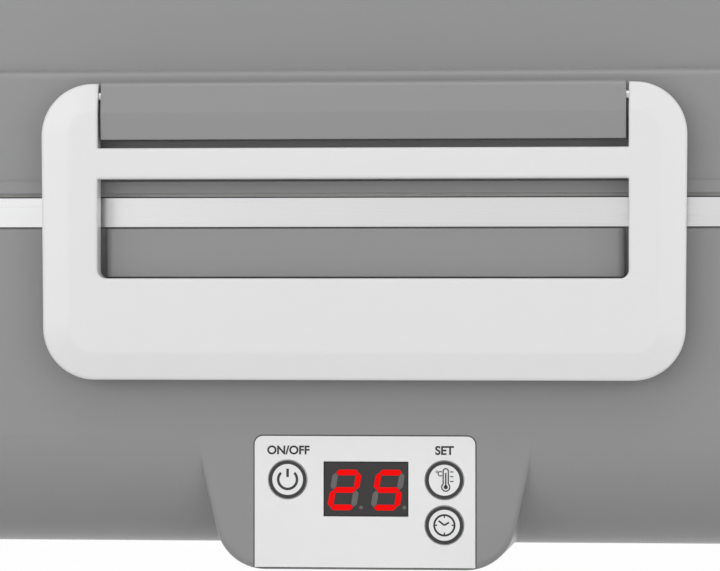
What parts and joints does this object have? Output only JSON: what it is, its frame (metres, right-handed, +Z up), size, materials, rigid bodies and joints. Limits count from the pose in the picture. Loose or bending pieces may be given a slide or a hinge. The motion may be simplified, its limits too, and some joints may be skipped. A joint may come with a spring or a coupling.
{
  "type": "filament dryer box",
  "caption": "Heated lidded box that dries a spool of printing filament: hinged arched lid, front latch, steel rim band, rollers, fan heater and a control pod with display and keys",
  "frame": {"origin": "on the floor under the centre of the box", "axes": "+X to the right seen from the front, -Y to the front, +Z up"},
  "size_m": [0.271, 0.136, 0.245],
  "materials": {
    "grey_shell": "satin grey moulded plastic",
    "white_latch": "white moulded plastic",
    "white_panel": "white printed plastic",
    "stainless": "brushed stainless steel",
    "steel": "plain steel",
    "black_plastic": "black moulded plastic",
    "rubber": "soft rubber",
    "seal": "translucent silicone rubber",
    "display": "dark display face",
    "circuit": "green circuit board",
    "roller": "dark moulded plastic",
    "heating": "aluminium fins",
    "brass": "turned brass"
  },
  "bodies": {
    "base": {"base_shell": "grey_shell", "bottom_cover": "grey_shell", "bottom_screws": "steel", "rubber_feet": "rubber", "rim_band": "stainless", "chamber_pan": "stainless", "temperature_probe": "steel", "roller_cradle": "roller", "roller_axles": "steel", "fan_frame": "black_plastic", "ptc_heater": "heating", "heater_guard": "stainless", "control_board": "circuit", "board_screws": "steel", "led_display": "display", "tact_switches": "black_plastic", "control_panel": "white_panel", "power_socket": "black_plastic", "lid_hinge_pins": "steel"},
    "lid": {"lid_shell": "grey_shell", "lid_gasket": "seal", "filament_bush_left": "brass", "filament_bush_right": "brass", "latch_pins": "steel"},
    "latch": {"latch_plate": "white_latch"},
    "power_button": {"power_key": "white_panel"},
    "temperature_button": {"temperature_key": "white_panel"},
    "timer_button": {"timer_key": "white_panel"},
    "fan": {"fan_rotor": "black_plastic"},
    "left_spool_roller": {"left_roller": "roller", "left_roller_bearings": "steel"},
    "right_spool_roller": {"right_roller": "roller", "right_roller_bearings": "steel"}
  },
  "joints": [
    {"name": "lid_hinge", "type": "hinge", "parent": "base", "child": "lid", "pos_m": [0, 0.064, 0.09195], "axis": [-1, 0, 0], "range_deg": [0, 100]},
    {"name": "latch_hinge", "type": "hinge", "parent": "lid", "child": "latch", "pos_m": [0, -0.0651, 0.1157], "axis": [-1, 0, 0], "range_deg": [0, 110]},
    {"name": "power_press", "type": "slide", "parent": "base", "child": "power_button", "axis": [0, 1, 0], "range_m": [0, 0.0004], "stiffness_N_per_m": 500},
    {"name": "temperature_press", "type": "slide", "parent": "base", "child": "temperature_button", "axis": [0, 1, 0], "range_m": [0, 0.0004], "stiffness_N_per_m": 500},
    {"name": "timer_press", "type": "slide", "parent": "base", "child": "timer_button", "axis": [0, 1, 0], "range_m": [0, 0.0004], "stiffness_N_per_m": 500},
    {"name": "fan_spin", "type": "hinge", "parent": "base", "child": "fan", "pos_m": [0.088, 0.001, 0.03], "axis": [0, 0, 1], "continuous": true},
    {"name": "left_roller_spin", "type": "hinge", "parent": "base", "child": "left_spool_roller", "pos_m": [-0.045, 0.001, 0.038], "axis": [0, 1, 0], "continuous": true},
    {"name": "right_roller_spin", "type": "hinge", "parent": "base", "child": "right_spool_roller", "pos_m": [0.045, 0.001, 0.038], "axis": [0, 1, 0], "continuous": true}
  ]
}
